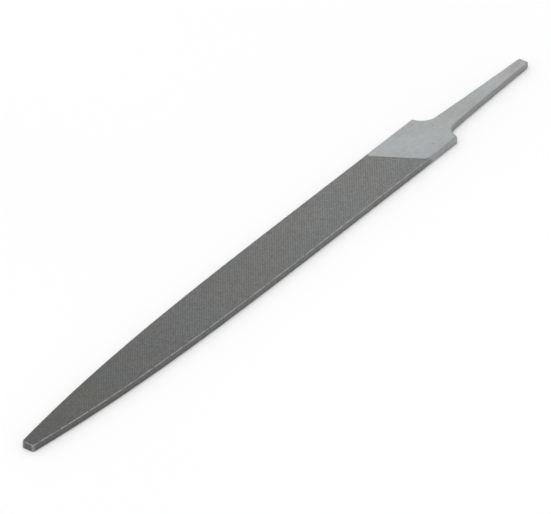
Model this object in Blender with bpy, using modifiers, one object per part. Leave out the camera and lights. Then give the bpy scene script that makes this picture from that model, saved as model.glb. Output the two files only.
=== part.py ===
"""A flat file of the thin, narrow-pointed (warding) pattern, without its handle.

The file is one forging of tool steel: the blade, its bare heel and the tang that a
handle is driven onto. The edges of the blade run parallel from the heel to the middle
and then curve in to a narrow square point. The tang is drawn down from the heel, and it
tapers in width and in thickness to a blunt end.

The length runs along X with the point at -X, the faces look up and down, and the origin
lies on the ground under the middle of the whole length.
"""

import math

import bmesh
import bpy
from mathutils import Vector

MM = 0.001

# Driving dimensions, in millimetres.
BLADE_LENGTH = 150.3  # point to shoulders: nominally 150, the length a file is sold by
TANG_LENGTH = 34.9  # shoulders to the tang's end
BLADE_WIDTH = 12.4
BLADE_THICKNESS = 1.9
TAPER_LENGTH = 110.0  # from the point to where the edges start to run parallel
TAPER_POWER = 3.2  # how late the edges curve in: 1 would be a straight taper
POINT_WIDTH = 2.7  # across the square end
POINT_CORNER_LENGTH = 0.7  # the corners of the end are taken off over this length
POINT_CORNER_DEPTH = 0.18
SHOULDER_CORNER = 0.2
SHOULDER_SKEW = 0.3  # the -Y shoulder stands this far back, and the +Y one forward
SHOULDER_FILLET = 4.2  # radius where the shoulders turn into the tang
TANG_ROOT_WIDTH = 5.4  # where the tang's edges, run on, would meet the shoulders
TANG_END_WIDTH = 2.6
TANG_WAIST = 0.4  # share of the tang's narrowing that fades out towards its end
TANG_LEAN = 0.1  # the tang's end stands this far to the -Y side
TANG_ROOT_LAND = 0.6  # past the fillets, before the tang starts to thin
TANG_END_THICKNESS = 1.4
TANG_END_CORNER = 0.3
BLADE_ARRIS = 0.08  # bevel width along the blade
TANG_ARRIS = 0.22  # bevel width along the forged tang

TAPER_STEPS = 22
FILLET_STEPS = 7
TANG_STEPS = 6
SHARP_EDGE = math.radians(30)

TOTAL_LENGTH = BLADE_LENGTH + TANG_LENGTH
POINT_X = -TOTAL_LENGTH / 2
SHOULDER_X = POINT_X + BLADE_LENGTH
TANG_END_X = TOTAL_LENGTH / 2
MIDDLE_Z = BLADE_THICKNESS / 2


def clear_scene():
    for obj in list(bpy.data.objects):
        bpy.data.objects.remove(obj, do_unlink=True)


def new_collection(name):
    collection = bpy.data.collections.new(name)
    bpy.context.scene.collection.children.link(collection)
    return collection


def steel():
    """Hardened carbon steel, bare and slightly dull."""
    material = bpy.data.materials.new("tool_steel")
    material.use_nodes = True
    shader = material.node_tree.nodes["Principled BSDF"]
    shader.inputs["Base Color"].default_value = (0.30, 0.31, 0.30, 1.0)
    shader.inputs["Metallic"].default_value = 1.0
    shader.inputs["Roughness"].default_value = 0.42
    return material


def blade_half_width(from_point):
    """Half the blade's width at a distance from the point, where the edges curve in."""
    full = BLADE_WIDTH / 2
    at_point = POINT_WIDTH / 2 + POINT_CORNER_DEPTH
    short = max(0.0, 1.0 - from_point / TAPER_LENGTH)
    return full - (full - at_point) * short**TAPER_POWER


def tang_half_width(from_shoulder):
    """Half the tang's width. It narrows quickly behind the root and then slowly."""
    share = from_shoulder / TANG_LENGTH
    fading = 1.0 - (1.0 - share) ** 2
    narrowing = (1.0 - TANG_WAIST) * share + TANG_WAIST * fading
    return (TANG_ROOT_WIDTH - (TANG_ROOT_WIDTH - TANG_END_WIDTH) * narrowing) / 2


def point_edge():
    """The corner of the square end, then the curved edge up to the parallel part."""
    points = [(POINT_X, POINT_WIDTH / 2)]
    for step in range(TAPER_STEPS + 1):
        share = step / TAPER_STEPS
        from_point = POINT_CORNER_LENGTH + (TAPER_LENGTH - POINT_CORNER_LENGTH) * share
        points.append((POINT_X + from_point, blade_half_width(from_point)))
    return points


def shoulder_and_tang(shoulder_x):
    """The shoulder, the hollow fillet into the tang, the tang's edge and its end."""
    half = BLADE_WIDTH / 2
    points = [
        (shoulder_x - SHOULDER_CORNER, half),
        (shoulder_x, half - SHOULDER_CORNER),
    ]
    centre_x = shoulder_x + SHOULDER_FILLET
    centre_y = tang_half_width(SHOULDER_FILLET) + SHOULDER_FILLET
    start = math.pi + math.asin((centre_y - points[-1][1]) / SHOULDER_FILLET)
    for step in range(1, FILLET_STEPS + 1):
        angle = start + (1.5 * math.pi - start) * step / FILLET_STEPS
        points.append(
            (
                centre_x + SHOULDER_FILLET * math.cos(angle),
                centre_y + SHOULDER_FILLET * math.sin(angle),
            )
        )
    last_x = TANG_END_X - TANG_END_CORNER
    for step in range(1, TANG_STEPS + 1):
        x = centre_x + (last_x - centre_x) * step / TANG_STEPS
        points.append((x, tang_half_width(x - SHOULDER_X)))
    points.append((TANG_END_X, TANG_END_WIDTH / 2 - TANG_END_CORNER))
    return points


def leaning(x, y):
    """The point moved sideways by the tang's lean, which grows from the shoulders."""
    share = max(0.0, (x - SHOULDER_X) / TANG_LENGTH)
    return x, y - TANG_LEAN * share


def outline():
    """The whole outline seen from above: the +Y edge, and the -Y edge back again."""
    left = point_edge() + shoulder_and_tang(SHOULDER_X - SHOULDER_SKEW)
    right = point_edge() + shoulder_and_tang(SHOULDER_X + SHOULDER_SKEW)
    around = left + [(x, -y) for x, y in reversed(right)]
    return [leaning(x, y) for x, y in around]


def flat_outline(name, points):
    """A filled 2D curve through the points, as thick as the blade."""
    curve = bpy.data.curves.new(name, "CURVE")
    curve.dimensions = "2D"
    curve.fill_mode = "BOTH"
    curve.extrude = BLADE_THICKNESS / 2 * MM
    spline = curve.splines.new("POLY")
    spline.points.add(len(points) - 1)
    for point, (x, y) in zip(spline.points, points):
        point.co = (x * MM, y * MM, 0.0, 1.0)
    spline.use_cyclic_u = True
    return bpy.data.objects.new(name + "_outline", curve)


def meshed(name, curve_object, collection):
    """The curve's solid as a mesh object, with its loose caps welded on."""
    collection.objects.link(curve_object)
    bpy.context.view_layer.update()
    evaluated = curve_object.evaluated_get(bpy.context.evaluated_depsgraph_get())
    mesh = bpy.data.meshes.new_from_object(evaluated)
    mesh.name = name
    obj = bpy.data.objects.new(name, mesh)
    obj.matrix_world = curve_object.matrix_world
    bpy.data.objects.remove(curve_object, do_unlink=True)
    collection.objects.link(obj)
    return obj


def draw_down_tang(bm):
    """Thins the tang evenly from its root to its end, so that its faces stay flat."""
    fillets_end_x = SHOULDER_X + SHOULDER_SKEW + SHOULDER_FILLET
    root_x = (fillets_end_x + TANG_ROOT_LAND) * MM
    bmesh.ops.bisect_plane(
        bm,
        geom=bm.verts[:] + bm.edges[:] + bm.faces[:],
        plane_co=Vector((root_x, 0, 0)),
        plane_no=Vector((1, 0, 0)),
    )
    for vertex in bm.verts:
        along = (vertex.co.x - root_x) / (TANG_END_X * MM - root_x)
        if along > 0:
            thickness = BLADE_THICKNESS + (TANG_END_THICKNESS - BLADE_THICKNESS) * along
            vertex.co.z = math.copysign(thickness / 2 * MM, vertex.co.z)


def weigh_arrises(bm):
    """Gives each sharp edge its share of the bevel, growing from blade to tang."""
    weights = bm.edges.layers.float.new("bevel_weight_edge")
    small = BLADE_ARRIS / TANG_ARRIS
    for edge in bm.edges:
        if edge.calc_face_angle(0.0) > SHARP_EDGE:
            middle_x = sum(v.co.x for v in edge.verts) / 2 / MM
            share = (middle_x - SHOULDER_X) / SHOULDER_FILLET
            edge[weights] = small + (1.0 - small) * min(1.0, max(0.0, share))


def add_bevel(obj):
    bevel = obj.modifiers.new("arrises", "BEVEL")
    bevel.limit_method = "WEIGHT"
    bevel.width = TANG_ARRIS * MM
    bevel.segments = 2


def file_body(collection):
    """The single steel forging: blade, heel and tang."""
    name = "file_body"
    obj = meshed(name, flat_outline(name, outline()), collection)
    bm = bmesh.new()
    bm.from_mesh(obj.data)
    bmesh.ops.remove_doubles(bm, verts=bm.verts[:], dist=0.00001)
    bmesh.ops.dissolve_limit(
        bm, angle_limit=math.radians(0.1), verts=bm.verts[:], edges=bm.edges[:]
    )
    draw_down_tang(bm)
    bmesh.ops.recalc_face_normals(bm, faces=bm.faces[:])
    weigh_arrises(bm)
    bm.to_mesh(obj.data)
    bm.free()
    obj.location.z = MIDDLE_Z * MM
    obj.data.materials.clear()
    obj.data.materials.append(steel())
    add_bevel(obj)
    return obj


def main():
    clear_scene()
    file_body(new_collection("flat_file"))


main()
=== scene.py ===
"""Looks of a flat file: its cut teeth, its ground heel and tang, and the studio round it.

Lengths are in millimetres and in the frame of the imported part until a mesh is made: X runs
from the point to the tang's end, and Z is the height above the floor.
"""

import math
from typing import NamedTuple

import bpy
import numpy as np
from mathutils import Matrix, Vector
from mathutils.geometry import delaunay_2d_cdt


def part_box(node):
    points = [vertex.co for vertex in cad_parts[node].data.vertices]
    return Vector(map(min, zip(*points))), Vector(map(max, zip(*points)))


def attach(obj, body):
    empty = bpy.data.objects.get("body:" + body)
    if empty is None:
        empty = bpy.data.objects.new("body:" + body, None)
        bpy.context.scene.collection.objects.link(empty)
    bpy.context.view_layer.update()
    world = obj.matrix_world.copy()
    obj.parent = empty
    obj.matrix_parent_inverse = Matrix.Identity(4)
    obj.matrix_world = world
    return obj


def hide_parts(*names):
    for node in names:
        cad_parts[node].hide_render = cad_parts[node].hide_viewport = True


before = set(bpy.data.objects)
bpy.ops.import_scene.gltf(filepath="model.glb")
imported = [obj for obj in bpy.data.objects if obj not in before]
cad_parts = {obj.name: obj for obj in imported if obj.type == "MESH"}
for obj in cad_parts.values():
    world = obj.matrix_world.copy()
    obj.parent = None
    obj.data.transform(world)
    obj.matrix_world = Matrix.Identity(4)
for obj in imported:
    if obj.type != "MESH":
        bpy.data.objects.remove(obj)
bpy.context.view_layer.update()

MM = 0.001
NODE = "file_body"
SEED = 11
random_numbers = np.random.default_rng(SEED)

# The forging, from its packed box and the proportions of the part.
low, high = [np.array(corner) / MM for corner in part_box(NODE)]
POINT_X = low[0]
TANG_END_X = high[0]
BLADE_WIDTH = 2 * min(high[1], -low[1])
HALF_THICKNESS = (high[2] - low[2]) / 2
MIDDLE_Z = (high[2] + low[2]) / 2

TANG_LENGTH = 34.9
SHOULDER_X = TANG_END_X - TANG_LENGTH
TAPER_LENGTH = 110.0  # from the point to where the edges start to run parallel
TAPER_POWER = 3.2  # how late the edges curve in
POINT_WIDTH = 2.7  # across the square end
POINT_CORNER_LENGTH = 0.7
POINT_CORNER_DEPTH = 0.18
SHOULDER_CORNER = {-1: 0.4, 1: 0.15}  # radii of the shoulders' corners
SHOULDER_SKEW = 0.3  # the -Y shoulder stands this far back, and the +Y one forward
SHOULDER_FILLET = 4.2
TANG_ROOT_WIDTH = 5.4
TANG_END_WIDTH = 2.6
TANG_WAIST = 0.4  # share of the tang's narrowing that fades out towards its end
TANG_LEAN = 0.1  # the tang's end stands this far to the -Y side
TANG_END_THICKNESS = 1.4
TANG_END_CORNER = 0.35

# Unevenness left in the tang by the forging, from a distance past the shoulders.
TANG_WAVER = 0.03
WAVER_START = 4
WAVER_FULL = 9
WAVER_PHASE = 2.0
WAVES = ((0.5, 0.9, 1.0), (0.3, 2.1, 2.3), (0.2, 4.3, 4.1))  # height, pace, share of phase

# The teeth. Angles are to the file's axis, and the upcut's last line bounds the cut.
HEEL_LENGTH = 14.85  # bare steel before the shoulders, on the centre line
UPCUT_ANGLE = math.radians(58.3)
UPCUT_PITCH = 0.526
UPCUT_DEPTH = 0.09
UPCUT_CREST = (0.3,)  # where it stands between two roots: the steep side is to the point
OVERCUT_ANGLE = math.radians(37.0)
OVERCUT_PITCH = 0.52
OVERCUT_DEPTH = 0.056
OVERCUT_CREST = (0.34, 0.66)  # the crest is a short flat
PITCH_JITTER = 0.018  # share of the pitch
DEPTH_JITTER = 0.07  # share of the depth
EDGE_PITCH = 0.56
EDGE_DEPTH = 0.07
EDGE_DEPTH_AT_FACE = 0.5  # share of the depth that is left where the edge meets a face
EDGE_LEAN = 0.28  # the edge's teeth lean this far over half the thickness
EDGE_LEAN_FULL = 3  # nearer to the point than this they lean less
EDGE_CUT_PAST = 0.4  # the edges are cut this far past the faces
RIM = 0.27  # the crossed teeth stop this far inside the outline
RIM_DROP = 0.02
RIM_DEPTH_SHARE = 0.6  # how much of the grooves' depth reaches the rim
GROUND_DROP = 0.05  # the ground heel lies this far under the crests
RUN_OUT = 0.08  # from the last groove up to the ground heel
HEEL_LINE_GAP = 0.1  # the heel's first line keeps this far from the rounded corners

# Rounding of the long corners, as radii.
CUT_ARRIS = 0.17
HEEL_ARRIS = {-1: 0.34, 1: 0.12}  # the -Y one is polished round
HEEL_ARRIS_BEFORE = 0.2  # the rounding changes from this far before the end of the cut
HEEL_ARRIS_PAST = 1.8  # to this far past it
TANG_ARRIS = 0.11
TANG_ARRIS_FULL = 5  # distance past the shoulders
TANG_ARRIS_WAVER = 0.5
TANG_ARRIS_PHASE = 5.0
POINT_ARRIS = 0.07

# Fineness of the mesh.
ARRIS_STEPS = 3
HEEL_STEP = 0.9
TANG_STEP = 1.0
FILLET_STEPS = 14
CORNER_STEPS = 4
END_COLUMNS = 6
SMOOTH_ANGLE = math.radians(31)
TINY = 1e-6  # slack where two places are compared
CLOSEST = 1e-7  # points nearer than this would be joined
TRIANGLES_INSIDE = 1  # what the triangulation keeps: triangles inside its loops
TEETH_LOOP = 1  # the second of its loops goes round the crossed teeth

# Looks of the wall round the outline: a tone of 1 is cut steel, and 0 is ground steel.
# These tones are painted light and shade: the cut edges' sides are lightened and the heel's
# and tang's sides darkened, for how the light falls on them.
CUT_WALL_PAINTED_LIGHT_TONE = 0.9
HEEL_WALL_PAINTED_SHADE_TONE = 0.3
TANG_WALL_PAINTED_SHADE_TONE = 0.5
POINT_CORNER_WEAR = 0.55  # rubbing of the two corners of the square end

# Colours of the steel, as linear reflectances.
# Painted shade: cut steel is darker than ground steel to stand for the shade in the hollows
# among the teeth.
CUT_STEEL_WITH_PAINTED_SHADE = (0.202, 0.204, 0.200)
# Painted shade: darker still at the point, standing for the reflection that brightens the
# teeth towards the heel.
CUT_STEEL_PAINTED_SHADE_AT_POINT = (0.114, 0.116, 0.112)
GROUND_STEEL = (0.362, 0.374, 0.379)
BRIGHT_STEEL = (0.62, 0.62, 0.61)
DARK_SPOT = (0.09, 0.088, 0.082)
WARM_TINT = (1.02, 1.0, 0.975)
COOL_TINT = (0.98, 1.0, 1.02)
ROUGHNESS = (0.36, 0.47)  # of the ground steel and of the teeth

# Texture of the steel. Scales are those of noise over metres, and a tone is the least and
# the most that the colour is multiplied by.
NOISE_MIDDLE = (0.3, 0.7)  # the noise's own values between which a tone changes
NOISE_CENTRE = (0.35, 0.65)  # the same for patches with clearer borders
CLOUD_SCALE = 130.0
CLOUD_DETAIL = 3.0
CLOUD_TONE = (0.95, 1.05)
CLOUD_ROUGHNESS = (-0.04, 0.05)  # added to the steel's roughness
SPECKLE_SCALE = 1500.0
SPECKLE_DETAIL = 1.0
SPECKLE_TONE = (0.9, 1.1)
GRAIN_STRETCH = (60.0, 2600.0, 2600.0)  # fine scratches along the file
GRAIN_DETAIL = 3.0
GRAIN_ROUGHNESS = 0.6
GRAIN_TONE = (0.965, 1.03)
FINE_SCALE = 900.0
FINE_TONE = (0.96, 1.04)
TINT_SCALE = 75.0
SPOT_SCALE = 260.0
SPOT_EDGE = (0.05, 0.13)  # a spot fades between these distances from its centre
SPOT_STRENGTH = 0.45
SPOT_AREA_SCALE = 210.0
SPOT_AREA_LEVEL = 0.6  # spots show only where this noise is higher
RUB_PATCHES = (0.35, 0.6)  # noise values between which the rubbing grows
RUB_TONE = (0.35, 1.0)
RUB_SHARE = (0.2, 0.9)  # of the wear that shows, on ground and on cut steel
BUMP_STRENGTH = 0.25
BUMP_DISTANCE = 0.03

# The paper that the file lies on.
FLOOR_HALF = 4000.0
FLOOR_GAP = 0.02
PAPER_SCALE = 3.0
PAPER_TONE = (0.90, 0.92)
PAPER_ROUGHNESS = 0.95
PAPER_SHINE = 0.1

# The light.
ZENITH_GREY = 0.64
HORIZON_GREY = 0.93
HORIZON_REACH = 0.32  # sine of the elevation where the horizon's paleness ends
SUN_STRENGTH = 1.27
SUN_SIZE = math.radians(45)  # wide enough for soft shadows
SUN_PLACE = (-250.0, 0.0, 900.0)
SOFTBOXES = {
    # name: place, size and power; each looks at the file
    "behind": ((700.0, 700.0, 700.0), 700.0, 1.0),
    "left": ((-900.0, 300.0, 500.0), 600.0, 0.6),
}

# The camera, as the angles of its line of sight.
CAMERA_TARGET = (-2.78, 0.24, 0.0)
CAMERA_DISTANCE = 1818.1
CAMERA_HEADING = math.radians(53.476)  # from +Y towards +X
CAMERA_ELEVATION = math.radians(35.026)
LENS = 534.6
SENSOR = 36.0

# Places of a mix node's sockets: share, first and second value, and the result.
MIX_SOCKETS = {"FLOAT": (0, 2, 3, 0), "RGBA": (0, 6, 7, 2)}


# --- Shape of the blank ---------------------------------------------------------------


def blade_half_width(x):
    """Half the blade's width at x, where the edges curve in."""
    full = BLADE_WIDTH / 2
    at_point = POINT_WIDTH / 2 + POINT_CORNER_DEPTH
    short = np.maximum(0.0, 1.0 - (x - POINT_X) / TAPER_LENGTH)
    return full - (full - at_point) * short**TAPER_POWER


def tang_half_width(x):
    """Half the tang's width at x. It narrows quickly behind the root and then slowly."""
    share = (x - SHOULDER_X) / TANG_LENGTH
    fading = 1.0 - (1.0 - share) ** 2
    narrowing = (1.0 - TANG_WAIST) * share + TANG_WAIST * fading
    return (TANG_ROOT_WIDTH - (TANG_ROOT_WIDTH - TANG_END_WIDTH) * narrowing) / 2


def ground_height(x):
    """Height of the ground steel over the middle plane, along the heel and the tang."""
    root_x = SHOULDER_X + SHOULDER_FILLET
    thinning = np.clip((x - root_x) / (TANG_END_X - root_x), 0.0, 1.0)
    heel = HALF_THICKNESS - GROUND_DROP
    return heel + (TANG_END_THICKNESS / 2 - heel) * thinning


def smoothstep(start, end, value):
    """A soft step from 0 at the start to 1 at the end."""
    share = np.clip((value - start) / (end - start), 0.0, 1.0)
    return share * share * (3.0 - 2.0 * share)


def waver(x, phase):
    """A slow unevenness between -1 and 1 along x."""
    return sum(height * np.sin(pace * x + share * phase) for height, pace, share in WAVES)


def stations(start, end, step):
    """Even places from start to end, both included, about a step apart."""
    return np.linspace(start, end, max(2, round((end - start) / step) + 1))


def arc(centre, radius, start, end, steps):
    """Points of an arc, without its first one, as a row of x and a row of y."""
    angles = np.linspace(start, end, steps + 1)[1:]
    x = centre[0] + radius * np.cos(angles)
    y = centre[1] + radius * np.sin(angles)
    return np.stack((x, y))


# --- Lines of teeth -------------------------------------------------------------------


class Cut:
    """One set of parallel grooves over a face, each with its own small error."""

    def __init__(self, normal, last, first, pitch, depth, crest):
        count = math.ceil((last - first) / pitch) + 2
        self.normal = np.array(normal)
        self.roots = last - pitch * np.arange(count)[::-1]
        self.roots[:-1] += pitch * PITCH_JITTER * random_numbers.uniform(-1, 1, count - 1)
        self.depths = depth * (1.0 + DEPTH_JITTER * random_numbers.uniform(-1, 1, count))
        self.crest = np.array(crest)

    def samples(self):
        """Where a groove's root and crests lie, for every groove, as distances."""
        gaps = np.diff(self.roots)
        shares = np.concatenate(([0.0], self.crest))
        inner = (self.roots[:-1, None] + gaps[:, None] * shares).ravel()
        return np.append(inner, self.roots[-1])

    def distance(self, x, y):
        """How far along the normal a place lies."""
        return self.normal[0] * x + self.normal[1] * y

    def depth(self, x, y):
        """Depth under the crests at a place."""
        distance = self.distance(x, y)
        index = np.searchsorted(self.roots, distance, side="right") - 1
        index = np.clip(index, 0, len(self.roots) - 2)
        gap = self.roots[index + 1] - self.roots[index]
        share = np.clip((distance - self.roots[index]) / gap, 0.0, 1.0)
        falling = 1.0 - share / self.crest[0]
        rising = 1.0 - (1.0 - share) / (1.0 - self.crest[-1])
        near = np.where(share < 0.5 * (self.crest[0] + self.crest[-1]), index, index + 1)
        return self.depths[near] * np.clip(np.maximum(falling, rising), 0.0, 1.0)


class Face:
    """The teeth of one face: side 1 is the upper face, and -1 the lower, turned over."""

    def __init__(self, side):
        half = BLADE_WIDTH / 2
        up_normal = (math.sin(UPCUT_ANGLE), side * math.cos(UPCUT_ANGLE))
        over_normal = (-math.sin(OVERCUT_ANGLE), side * math.cos(OVERCUT_ANGLE))
        up_first = POINT_X * up_normal[0] - half
        over_ends = [POINT_X * over_normal[0] + half, SHOULDER_X * over_normal[0] - half]
        self.cut_end = (SHOULDER_X - HEEL_LENGTH) * up_normal[0]
        self.upcut = Cut(
            up_normal, self.cut_end, up_first, UPCUT_PITCH, UPCUT_DEPTH, UPCUT_CREST
        )
        self.overcut = Cut(
            over_normal,
            max(over_ends),
            min(over_ends),
            OVERCUT_PITCH,
            OVERCUT_DEPTH,
            OVERCUT_CREST,
        )

    def past_cut(self, x, y):
        """Distance past the line where the teeth end: negative among the teeth."""
        return self.upcut.distance(x, y) - self.cut_end

    def depth(self, x, y):
        """Depth of the crossed grooves at a place."""
        deeper = np.maximum(self.upcut.depth(x, y), self.overcut.depth(x, y))
        return np.where(self.past_cut(x, y) < 0, deeper, 0.0)

    def room(self, x, y):
        """Distance inside the border of the crossed teeth: negative outside it."""
        to_edge = blade_half_width(x) - np.abs(y) - RIM
        to_point = x - POINT_X - RIM
        return np.minimum(to_edge, to_point)


def lattice(face):
    """Roots and crests of both cuts, crossed: points and triangles, past the border."""
    along = face.upcut.samples()
    across = face.overcut.samples()
    to_plane = np.linalg.inv(np.array([face.upcut.normal, face.overcut.normal]))
    grid = np.stack(np.meshgrid(along, across, indexing="ij"), axis=-1) @ to_plane.T
    rows, columns = grid.shape[:2]
    corner = (np.arange(rows - 1)[:, None] * columns + np.arange(columns - 1)).ravel()
    quads = np.stack(
        (corner, corner + columns, corner + columns + 1, corner + 1), axis=1
    )
    triangles = np.concatenate((quads[:, [0, 1, 2]], quads[:, [0, 2, 3]]))
    return grid.reshape(-1, 2), triangles


def clipped(xy, triangles, room):
    """The triangles where there is room, cut along the border: points and triangles."""
    inside = room > 0
    points = list(map(tuple, xy))
    made = {}

    def crossing(a, b):
        """The point between a and b on the border, the same for both neighbours."""
        first, last = min(a, b), max(a, b)
        if (first, last) not in made:
            share = room[first] / (room[first] - room[last])
            made[first, last] = len(points)
            points.append(tuple(xy[first] + (xy[last] - xy[first]) * share))
        return made[first, last]

    kept = inside[triangles].sum(axis=1)
    cut = []
    for triangle in triangles[(kept == 1) | (kept == 2)]:
        loop = []
        for a, b in zip(triangle, np.roll(triangle, -1)):
            if inside[a]:
                loop.append(int(a))
            if inside[a] != inside[b]:
                loop.append(crossing(int(a), int(b)))
        cut.extend((loop[0], loop[i], loop[i + 1]) for i in range(1, len(loop) - 1))
    faces = np.concatenate((triangles[kept == 3], np.array(cut)))
    used, renumbered = np.unique(faces, return_inverse=True)
    return np.array([points[i] for i in used]), renumbered.reshape(-1, 3)


def anticlockwise(points, faces):
    """The triangles, with those that run clockwise turned round."""
    a, b, c = (points[faces[:, i]] for i in range(3))
    doubled_area = (b[:, 0] - a[:, 0]) * (c[:, 1] - a[:, 1])
    doubled_area -= (b[:, 1] - a[:, 1]) * (c[:, 0] - a[:, 0])
    return np.where(doubled_area[:, None] < 0, faces[:, ::-1], faces)


def rim_of(faces):
    """The loop of points round a patch of triangles, anticlockwise."""
    pairs = np.concatenate((faces[:, [0, 1]], faces[:, [1, 2]], faces[:, [2, 0]]))
    directed = set(map(tuple, pairs.tolist()))
    following = {a: b for a, b in directed if (b, a) not in directed}
    loop = [min(following)]
    while following[loop[-1]] != loop[0]:
        loop.append(following[loop[-1]])
    if len(loop) != len(following):
        raise ValueError("the toothed patch has more than one rim")
    return loop


def toothed_patch(face):
    """The crossed teeth inside their border: points, triangles and the rim in order."""
    xy, triangles = lattice(face)
    room = face.room(xy[:, 0], xy[:, 1])
    points, triangles = clipped(xy, triangles, room)
    triangles = anticlockwise(points, triangles)
    return points, triangles, rim_of(triangles)


# --- Outline and wall -----------------------------------------------------------------


class Columns(NamedTuple):
    """Places round the outline, and what the wall is like at each."""

    x: np.ndarray
    y: np.ndarray
    groove: np.ndarray  # share of a groove's depth
    radius: np.ndarray  # of the rounded corners
    toothed: np.ndarray  # whether the wall is cut there


def cut_edge(cut_end):
    """The toothed part of an edge: x, and the share of a groove's depth there."""
    start = POINT_X + POINT_CORNER_LENGTH
    teeth = max(1, round((cut_end - start) / EDGE_PITCH))
    x = np.linspace(start, cut_end, 2 * teeth + 1)
    x[1:-1] += EDGE_PITCH * PITCH_JITTER * random_numbers.uniform(-1, 1, 2 * teeth - 1)
    groove = np.zeros(len(x))
    groove[1::2] = 1.0 + DEPTH_JITTER * random_numbers.uniform(-1, 1, teeth)
    return x, groove


def edge_line(side, cut_x):
    """One edge from the point to the tang's end, as a row of x and one of half widths."""
    half = BLADE_WIDTH / 2
    shoulder_x = SHOULDER_X - SHOULDER_SKEW * side
    rounding = SHOULDER_CORNER[side]
    heel_x = stations(cut_x[-1], shoulder_x - rounding, HEEL_STEP)[1:]
    corner_centre = (shoulder_x - rounding, half - rounding)
    corner = arc(corner_centre, rounding, math.pi / 2, 0, CORNER_STEPS)

    fillet_x = shoulder_x + SHOULDER_FILLET
    fillet_y = tang_half_width(SHOULDER_X + SHOULDER_FILLET) + SHOULDER_FILLET
    opening = math.pi + math.asin((fillet_y - corner[1][-1]) / SHOULDER_FILLET)
    fillet = arc(
        (fillet_x, fillet_y), SHOULDER_FILLET, opening, 1.5 * math.pi, FILLET_STEPS
    )

    last_x = TANG_END_X - TANG_END_CORNER
    tang_x = stations(fillet_x, last_x, TANG_STEP)[1:]
    end_centre = (last_x, tang_half_width(last_x) - TANG_END_CORNER)
    end_corner = arc(end_centre, TANG_END_CORNER, math.pi / 2, 0, CORNER_STEPS)
    parts = [
        [[POINT_X], [POINT_WIDTH / 2]],
        [cut_x, blade_half_width(cut_x)],
        [heel_x, np.full(len(heel_x), half)],
        corner,
        fillet,
        [tang_x, tang_half_width(tang_x)],
        end_corner,
    ]
    return np.concatenate(parts, axis=1)


def edge_columns(side, cut_end):
    """One edge from the point to the tang's end, with its half width as y."""
    cut_x, cut_groove = cut_edge(cut_end)
    x, y = edge_line(side, cut_x)
    uneven = smoothstep(SHOULDER_X + WAVER_START, SHOULDER_X + WAVER_FULL, x)
    y += TANG_WAVER * waver(x, WAVER_PHASE + side) * uneven
    groove = np.zeros(len(x))
    groove[1 : 1 + len(cut_groove)] = cut_groove
    on_heel = smoothstep(cut_end - HEEL_ARRIS_BEFORE, cut_end + HEEL_ARRIS_PAST, x)
    on_tang = smoothstep(SHOULDER_X, SHOULDER_X + TANG_ARRIS_FULL, x)
    radius = CUT_ARRIS + (HEEL_ARRIS[side] - CUT_ARRIS) * on_heel
    uneven_arris = 1.0 + TANG_ARRIS_WAVER * waver(x, TANG_ARRIS_PHASE + side)
    radius += (TANG_ARRIS * uneven_arris - radius) * on_tang
    radius[0] = POINT_ARRIS
    return Columns(x, y, groove, radius, x <= cut_end + TINY)


def end_columns(x, half, radius, toothed):
    """The places across a square end, without its corners, from -Y to +Y."""
    y = np.linspace(-half, half, END_COLUMNS)[1:-1]
    even = np.ones(len(y))
    return Columns(x * even, y, 0 * even, radius * even, np.full(len(y), toothed))


def outline_columns(upper):
    """The whole outline, anticlockwise from the point's -Y corner."""
    edges = {}
    for side in (-1, 1):
        edge_y = side * BLADE_WIDTH / 2
        crossing = (upper.cut_end - upper.upcut.normal[1] * edge_y) / upper.upcut.normal[0]
        edges[side] = edge_columns(side, crossing + EDGE_CUT_PAST)
    near = edges[-1]._replace(y=-edges[-1].y)
    tang_end = end_columns(TANG_END_X, edges[1].y[-1], TANG_ARRIS, False)
    far = [column[::-1] for column in edges[1]]
    point = end_columns(POINT_X, POINT_WIDTH / 2, POINT_ARRIS, True)
    point = [column[::-1] for column in point]
    around = Columns(*map(np.concatenate, zip(near, tang_end, far, point)))
    lean = TANG_LEAN * np.clip((around.x - SHOULDER_X) / TANG_LENGTH, 0, None)
    return around._replace(y=around.y - lean)


def outward(x, y):
    """Unit vectors that point out of a closed anticlockwise outline."""
    tangent = np.stack(
        (np.roll(x, -1) - np.roll(x, 1), np.roll(y, -1) - np.roll(y, 1)), axis=1
    )
    tangent /= np.linalg.norm(tangent, axis=1)[:, None]
    return np.stack((tangent[:, 1], -tangent[:, 0]), axis=1)


def leaning(outline, side):
    """The outline's places at one face, where the edge's teeth have leant over."""
    lean = np.where(outline.toothed, side * EDGE_LEAN, 0.0)
    lean[1] = 0.0  # the start of the -Y edge stays upright
    x = outline.x + lean * smoothstep(POINT_X, POINT_X + EDGE_LEAN_FULL, outline.x)
    slide = np.sign(outline.y) * (blade_half_width(x) - blade_half_width(outline.x))
    y = outline.y + np.where(outline.toothed, slide, 0.0)
    return np.stack((x, y), axis=1)


def arris_rows(outline, side):
    """The rounded corner at one face, from the face down: its places and their drops."""
    normal = outward(outline.x, outline.y)
    at_face = leaning(outline, side)
    rows = []
    for step in range(ARRIS_STEPS + 1):
        turn = math.pi / 2 * step / ARRIS_STEPS
        share = EDGE_DEPTH_AT_FACE + (1 - EDGE_DEPTH_AT_FACE) * step / ARRIS_STEPS
        inset = outline.radius * (1 - math.sin(turn)) + EDGE_DEPTH * outline.groove * share
        drop = outline.radius * (1 - math.cos(turn))
        rows.append((at_face - normal * inset[:, None], drop))
    return rows


def border_height(face, x, y):
    """Height of a face's border over the middle plane, among the teeth and past them."""
    cut = HALF_THICKNESS - RIM_DROP - RIM_DEPTH_SHARE * face.depth(x, y)
    return np.where(face.past_cut(x, y) < RUN_OUT / 2, cut, ground_height(x))


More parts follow.
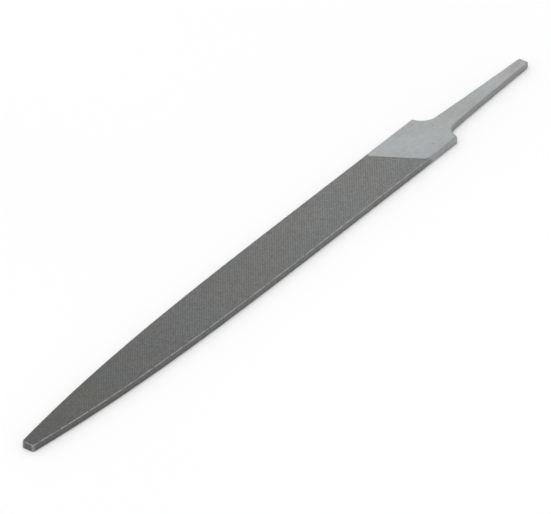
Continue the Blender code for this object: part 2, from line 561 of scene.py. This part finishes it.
def wall(faces, outline):
    """Rows of points from the upper face's border, down the edge, to the lower face's."""
    rows = []
    for side in (1, -1):
        arris = arris_rows(outline, side)
        border = arris[0][0]
        height = border_height(faces[side], border[:, 0], border[:, 1])
        band = [np.column_stack((row, side * (height - drop))) for row, drop in arris]
        rows.extend(band if side == 1 else band[::-1])
    return np.array(rows)


# --- The mesh -------------------------------------------------------------------------


def heel_line(face):
    """Points where the ground heel begins, beside the last groove."""
    direction = np.array([face.upcut.normal[1], -face.upcut.normal[0]])
    middle = np.array([(face.cut_end + RUN_OUT) / face.upcut.normal[0], 0.0])
    reach = (BLADE_WIDTH / 2 - RIM) / abs(direction[1])
    steps = np.linspace(-reach, reach, math.ceil(2 * reach / OVERCUT_PITCH))
    points = middle + steps[:, None] * direction
    to_edge = blade_half_width(points[:, 0]) - np.abs(points[:, 1])
    return points[to_edge > HEEL_ARRIS[-1] + HEEL_LINE_GAP]


def face_parts(face, border):
    """One face: its teeth, their rim, the heel's line and the triangles round them."""
    patch, patch_faces, rim = toothed_patch(face)
    start = heel_line(face)
    flat = [Vector(point) for point in (*border, *patch[rim], *start)]
    outer = list(range(len(border)))
    inner = list(range(len(border), len(border) + len(rim)))
    edges = [(i, i + 1) for i in range(len(border) + len(rim), len(flat) - 1)]
    points, _, triangles, origins, _, loops = delaunay_2d_cdt(
        flat, edges, [outer, inner], TRIANGLES_INSIDE, CLOSEST
    )
    if len(points) != len(flat):
        raise ValueError("the border of a face crosses its teeth")
    sources = [origin[0] for origin in origins]
    around = [
        [sources[i] for i in triangle]
        for triangle, inside in zip(triangles, loops)
        if TEETH_LOOP not in inside
    ]
    return patch, patch_faces, rim, start, np.array(around)


def wall_cut_painted_light_and_wear(rows, toothed):
    """How far the wall is cut, with painted light on the cut edges' sides and painted shade
    on the heel's and tang's sides, and how far it is worn, at each of its points.
    """
    on_tang = rows[0][:, 0] > SHOULDER_X + SHOULDER_FILLET / 2
    # Painted shade on the heel's and tang's sides and painted light on the cut edges' sides,
    # given as tones of cut steel.
    ground_tone = np.where(on_tang, TANG_WALL_PAINTED_SHADE_TONE, HEEL_WALL_PAINTED_SHADE_TONE)
    cut = np.tile(np.where(toothed, CUT_WALL_PAINTED_LIGHT_TONE, ground_tone), (len(rows), 1))
    cut[[0, -1]] = toothed
    arris_wear = np.sin(np.linspace(0, math.pi, ARRIS_STEPS + 1))
    wear_by_row = np.concatenate((arris_wear, arris_wear[::-1]))
    wear = np.tile(wear_by_row[:, None], len(toothed))
    wear[:, [0, 1 - END_COLUMNS]] = POINT_CORNER_WEAR
    return cut.ravel(), wear.ravel()


def wall_quads(rows, columns):
    """Quads between neighbouring rows and columns of the wall, closed round the file."""
    column = np.arange(columns)
    after = (column + 1) % columns
    quads = []
    for row in range(rows - 1):
        upper = row * columns
        lower = upper + columns
        corners = (upper + column, lower + column, lower + after, upper + after)
        quads.extend(np.stack(corners, axis=1).tolist())
    return quads


def file_mesh():
    """The whole file as one closed mesh, with its cut and its wear as attributes."""
    faces = {side: Face(side) for side in (1, -1)}
    outline = outline_columns(faces[1])
    rows = wall(faces, outline)
    count = len(outline.x)
    # The wall's cut values carry painted light and shade on its sides.
    wall_cut_and_painted_light, wall_wear = wall_cut_painted_light_and_wear(rows, outline.toothed)
    vertices, cut, wear = [rows.reshape(-1, 3)], [wall_cut_and_painted_light], [wall_wear]
    polygons = wall_quads(len(rows), count)
    wall_end = len(polygons)
    total = len(rows) * count
    for side, border_row in ((1, 0), (-1, len(rows) - 1)):
        face = faces[side]
        border = rows[border_row][:, :2]
        patch, patch_faces, rim, start, around = face_parts(face, border)
        patch_height = HALF_THICKNESS - face.depth(patch[:, 0], patch[:, 1])
        vertices.append(np.column_stack((patch, side * patch_height)))
        vertices.append(np.column_stack((start, side * ground_height(start[:, 0]))))
        cut += [np.ones(len(patch)), np.zeros(len(start))]
        wear += [np.zeros(len(patch)), np.zeros(len(start))]
        index = np.concatenate(
            (
                border_row * count + np.arange(count),
                total + np.array(rim),
                total + len(patch) + np.arange(len(start)),
            )
        )
        for triangles in (total + patch_faces, index[around]):
            outward_facing = triangles if side == 1 else triangles[:, ::-1]
            polygons.extend(outward_facing.tolist())
        total += len(patch) + len(start)
    points = np.concatenate(vertices)
    points[:, 2] += MIDDLE_Z
    mesh = bpy.data.meshes.new("file_steel")
    mesh.from_pydata((points * MM).tolist(), [], polygons)
    for name, values in (("cut", cut), ("wear", wear)):
        layer = mesh.attributes.new(name, "FLOAT", "POINT")
        layer.data.foreach_set("value", np.concatenate(values).astype(np.float32))
    on_wall = np.arange(len(polygons)) < wall_end
    mesh.polygons.foreach_set("use_smooth", on_wall)
    mesh.set_sharp_from_angle(angle=SMOOTH_ANGLE)
    mesh.validate()
    mesh.update()
    return mesh


# --- Materials ------------------------------------------------------------------------


class Nodes:
    """Short ways to add and join the nodes of one material."""

    def __init__(self, name):
        self.material = bpy.data.materials.new(name)
        self.material.use_nodes = True
        self.tree = self.material.node_tree
        self.shader = self.tree.nodes["Principled BSDF"]

    def put(self, socket, value):
        """Gives a socket its value, or links another node's output to it."""
        if isinstance(value, bpy.types.NodeSocket):
            self.tree.links.new(value, socket)
        else:
            socket.default_value = value

    def add(self, kind, settings=None, **inputs):
        """A node of a kind, with its settings, and its inputs by name."""
        node = self.tree.nodes.new(kind)
        for key, value in (settings or {}).items():
            setattr(node, key, value)
        for key, value in inputs.items():
            self.put(node.inputs[key], value)
        return node

    def mix(self, kind, share, first, second, blend="MIX"):
        """The first value where the share is 0, and the second where it is 1."""
        node = self.add("ShaderNodeMix", {"data_type": kind, "blend_type": blend})
        *places, result = MIX_SOCKETS[kind]
        for place, value in zip(places, (share, first, second)):
            if isinstance(value, tuple):
                value = (*value, 1.0)
            self.put(node.inputs[place], value)
        return node.outputs[result]

    def product(self, first, second):
        """Two colours multiplied."""
        return self.mix("RGBA", 1.0, first, second, "MULTIPLY")

    def math(self, operation, first, second):
        """The result of an operation on two values."""
        node = self.add("ShaderNodeMath", {"operation": operation})
        self.put(node.inputs[0], first)
        self.put(node.inputs[1], second)
        return node.outputs[0]

    def ramp(self, value, source, target=(0.0, 1.0), shape="SMOOTHSTEP"):
        """The value moved from the source's range to the target's."""
        node = self.add("ShaderNodeMapRange", {"interpolation_type": shape})
        for socket, item in zip(node.inputs, (value, *source, *target)):
            self.put(socket, item)
        return node.outputs[0]

    def noise(self, vector, scale, detail=2.0, roughness=0.5):
        """Cloudy noise."""
        inputs = {"Scale": scale, "Detail": detail, "Roughness": roughness}
        return self.add("ShaderNodeTexNoise", Vector=vector, **inputs).outputs[0]

    def stretched(self, vector, stretch):
        """The vector with each of its parts scaled on its own."""
        return self.add("ShaderNodeMapping", Vector=vector, Scale=stretch).outputs[0]

    def attribute(self, name):
        """A value that the mesh holds for each of its points."""
        return self.add("ShaderNodeAttribute", {"attribute_name": name}).outputs["Fac"]

    def grey(self, value):
        """A colour with the value in all its channels."""
        channels = {"Red": value, "Green": value, "Blue": value}
        return self.add("ShaderNodeCombineColor", **channels).outputs[0]


def tool_steel():
    """Bare tool steel: dark among the teeth with painted shade, ground satin on the heel and
    the tang.
    """
    nodes = Nodes("file_tool_steel")
    place = nodes.add("ShaderNodeTexCoord").outputs["Object"]
    along = nodes.add("ShaderNodeSeparateXYZ", Vector=place).outputs["X"]
    cut = nodes.attribute("cut")
    wear = nodes.attribute("wear")
    clouds = nodes.noise(place, CLOUD_SCALE, CLOUD_DETAIL)
    speckle = nodes.noise(place, SPECKLE_SCALE, SPECKLE_DETAIL)
    grain_place = nodes.stretched(place, GRAIN_STRETCH)
    grain = nodes.noise(grain_place, 1.0, GRAIN_DETAIL, GRAIN_ROUGHNESS)
    fine = nodes.noise(place, FINE_SCALE)

    # The teeth get painted shade that darkens them towards the point, standing for the
    # reflection that brightens them towards the heel, and they are cloudy and speckled all
    # over.
    cut_end = SHOULDER_X - HEEL_LENGTH
    painted_shade_gradient = nodes.ramp(along, (POINT_X * MM, cut_end * MM), shape="LINEAR")
    cut_colour_with_painted_shade = nodes.mix("RGBA", painted_shade_gradient, CUT_STEEL_PAINTED_SHADE_AT_POINT, CUT_STEEL_WITH_PAINTED_SHADE)
    cloudy = nodes.ramp(clouds, NOISE_CENTRE, CLOUD_TONE)
    speckled = nodes.ramp(speckle, NOISE_MIDDLE, SPECKLE_TONE)
    cut_tone = nodes.math("MULTIPLY", cloudy, speckled)

    # The ground steel has fine scratches along the file.
    scratched = nodes.ramp(grain, NOISE_MIDDLE, GRAIN_TONE)
    mottled = nodes.ramp(fine, NOISE_MIDDLE, FINE_TONE)
    ground_tone = nodes.math("MULTIPLY", scratched, mottled)

    # Both together, where the wall's cut value also carries the painted light and shade of
    # its sides, with a slight drift from a warm to a cool grey.
    steel = nodes.mix("RGBA", cut, GROUND_STEEL, cut_colour_with_painted_shade)
    tone = nodes.mix("FLOAT", cut, ground_tone, cut_tone)
    toned = nodes.product(steel, nodes.grey(tone))
    drift = nodes.ramp(nodes.noise(place, TINT_SCALE), NOISE_CENTRE)
    tint = nodes.mix("RGBA", drift, WARM_TINT, COOL_TINT)
    tinted = nodes.product(toned, tint)

    # Spots of dirt, and bright steel where the corners are rubbed.
    cells = nodes.add("ShaderNodeTexVoronoi", Vector=place, Scale=SPOT_SCALE)
    spot = nodes.ramp(cells.outputs["Distance"], SPOT_EDGE, (1.0, 0.0))
    area = nodes.noise(place, SPOT_AREA_SCALE)
    spot = nodes.math("MULTIPLY", spot, nodes.math("GREATER_THAN", area, SPOT_AREA_LEVEL))
    spot = nodes.math("MULTIPLY", spot, SPOT_STRENGTH)
    spotted = nodes.mix("RGBA", spot, tinted, DARK_SPOT)
    rubbed = nodes.math("MULTIPLY", wear, nodes.ramp(fine, RUB_PATCHES, RUB_TONE))
    rubbed = nodes.math("MULTIPLY", rubbed, nodes.ramp(cut, (0.0, 1.0), RUB_SHARE))
    colour = nodes.mix("RGBA", rubbed, spotted, BRIGHT_STEEL)

    steel_rough = nodes.ramp(cut, (0.0, 1.0), ROUGHNESS)
    cloud_rough = nodes.ramp(clouds, NOISE_MIDDLE, CLOUD_ROUGHNESS)
    rough = nodes.math("ADD", steel_rough, cloud_rough)

    # Scratches stand out on the ground steel, and pits among the teeth.
    ground = nodes.math("SUBTRACT", 1.0, cut)
    scratches = nodes.math("MULTIPLY", nodes.math("ADD", grain, fine), ground)
    pits = nodes.math("MULTIPLY", speckle, cut)
    height = nodes.math("ADD", scratches, pits)
    depth = BUMP_DISTANCE * MM
    bump = nodes.add(
        "ShaderNodeBump", Strength=BUMP_STRENGTH, Distance=depth, Height=height
    )

    shader = nodes.shader
    shader.inputs["Metallic"].default_value = 1.0
    nodes.put(shader.inputs["Base Color"], colour)
    nodes.put(shader.inputs["Roughness"], rough)
    nodes.put(shader.inputs["Normal"], bump.outputs[0])
    return nodes.material


def floor_paper():
    """Matt white studio paper, with hardly visible unevenness."""
    nodes = Nodes("studio_paper")
    place = nodes.add("ShaderNodeTexCoord").outputs["Object"]
    tone = nodes.ramp(nodes.noise(place, PAPER_SCALE), NOISE_MIDDLE, PAPER_TONE)
    nodes.put(nodes.shader.inputs["Base Color"], nodes.grey(tone))
    nodes.shader.inputs["Roughness"].default_value = PAPER_ROUGHNESS
    nodes.shader.inputs["Specular IOR Level"].default_value = PAPER_SHINE
    return nodes.material


# --- Studio ---------------------------------------------------------------------------


def new_object(name, data):
    """An object that shows the data, in the scene."""
    thing = bpy.data.objects.new(name, data)
    bpy.context.scene.collection.objects.link(thing)
    return thing


def aim(thing, place, target):
    """Puts a lamp or a camera at a place, looking at the target."""
    thing.location = place
    direction = Vector(target) - Vector(place)
    thing.rotation_euler = direction.to_track_quat("-Z", "Y").to_euler()


def add_floor():
    """A wide sheet of paper under the file."""
    mesh = bpy.data.meshes.new("floor")
    half = FLOOR_HALF * MM
    z = (low[2] - FLOOR_GAP) * MM
    corners = [(-half, -half, z), (half, -half, z), (half, half, z), (-half, half, z)]
    mesh.from_pydata(corners, [], [(0, 1, 2, 3)])
    mesh.materials.append(floor_paper())
    new_object("floor", mesh)


def add_world():
    """An even grey sky that is paler near the horizon."""
    world = bpy.data.worlds.new("studio")
    world.use_nodes = True
    tree = world.node_tree
    direction = tree.nodes.new("ShaderNodeTexCoord").outputs["Generated"]
    parts = tree.nodes.new("ShaderNodeSeparateXYZ")
    grey = tree.nodes.new("ShaderNodeMapRange")
    grey.interpolation_type = "SMOOTHSTEP"
    grey.inputs["From Max"].default_value = HORIZON_REACH
    grey.inputs["To Min"].default_value = HORIZON_GREY
    grey.inputs["To Max"].default_value = ZENITH_GREY
    tree.links.new(direction, parts.inputs[0])
    tree.links.new(parts.outputs["Z"], grey.inputs["Value"])
    tree.links.new(grey.outputs[0], tree.nodes["Background"].inputs["Color"])
    bpy.context.scene.world = world


def add_lamps():
    """A very wide sun overhead, and two softboxes."""
    middle = (0.0, 0.0, 0.0)
    sun = bpy.data.lights.new("overhead", "SUN")
    sun.energy = SUN_STRENGTH
    sun.angle = SUN_SIZE
    aim(new_object("overhead", sun), Vector(SUN_PLACE) * MM, middle)
    for name, (place, size, power) in SOFTBOXES.items():
        lamp = bpy.data.lights.new(name, "AREA")
        lamp.size = size * MM
        lamp.energy = power
        aim(new_object(name, lamp), Vector(place) * MM, middle)


def add_camera():
    """A long lens on the point's side of the -Y edge, looking down at the file."""
    settings = bpy.data.cameras.new("camera")
    settings.lens = LENS
    settings.sensor_width = SENSOR
    camera = new_object("camera", settings)
    sight = Vector(
        (
            math.sin(CAMERA_HEADING) * math.cos(CAMERA_ELEVATION),
            math.cos(CAMERA_HEADING) * math.cos(CAMERA_ELEVATION),
            -math.sin(CAMERA_ELEVATION),
        )
    )
    target = Vector(CAMERA_TARGET) * MM
    aim(camera, target - sight * CAMERA_DISTANCE * MM, target)
    bpy.context.scene.camera = camera


def main():
    """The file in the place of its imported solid, and the studio round it."""
    mesh = file_mesh()
    mesh.materials.append(tool_steel())
    steel = new_object("file_steel", mesh)
    normals = steel.modifiers.new("flat_faces", "WEIGHTED_NORMAL")
    normals.keep_sharp = True
    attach(steel, "root")
    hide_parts(NODE)
    add_floor()
    add_world()
    add_lamps()
    add_camera()
    bpy.context.scene.view_settings.view_transform = "Standard"


main()
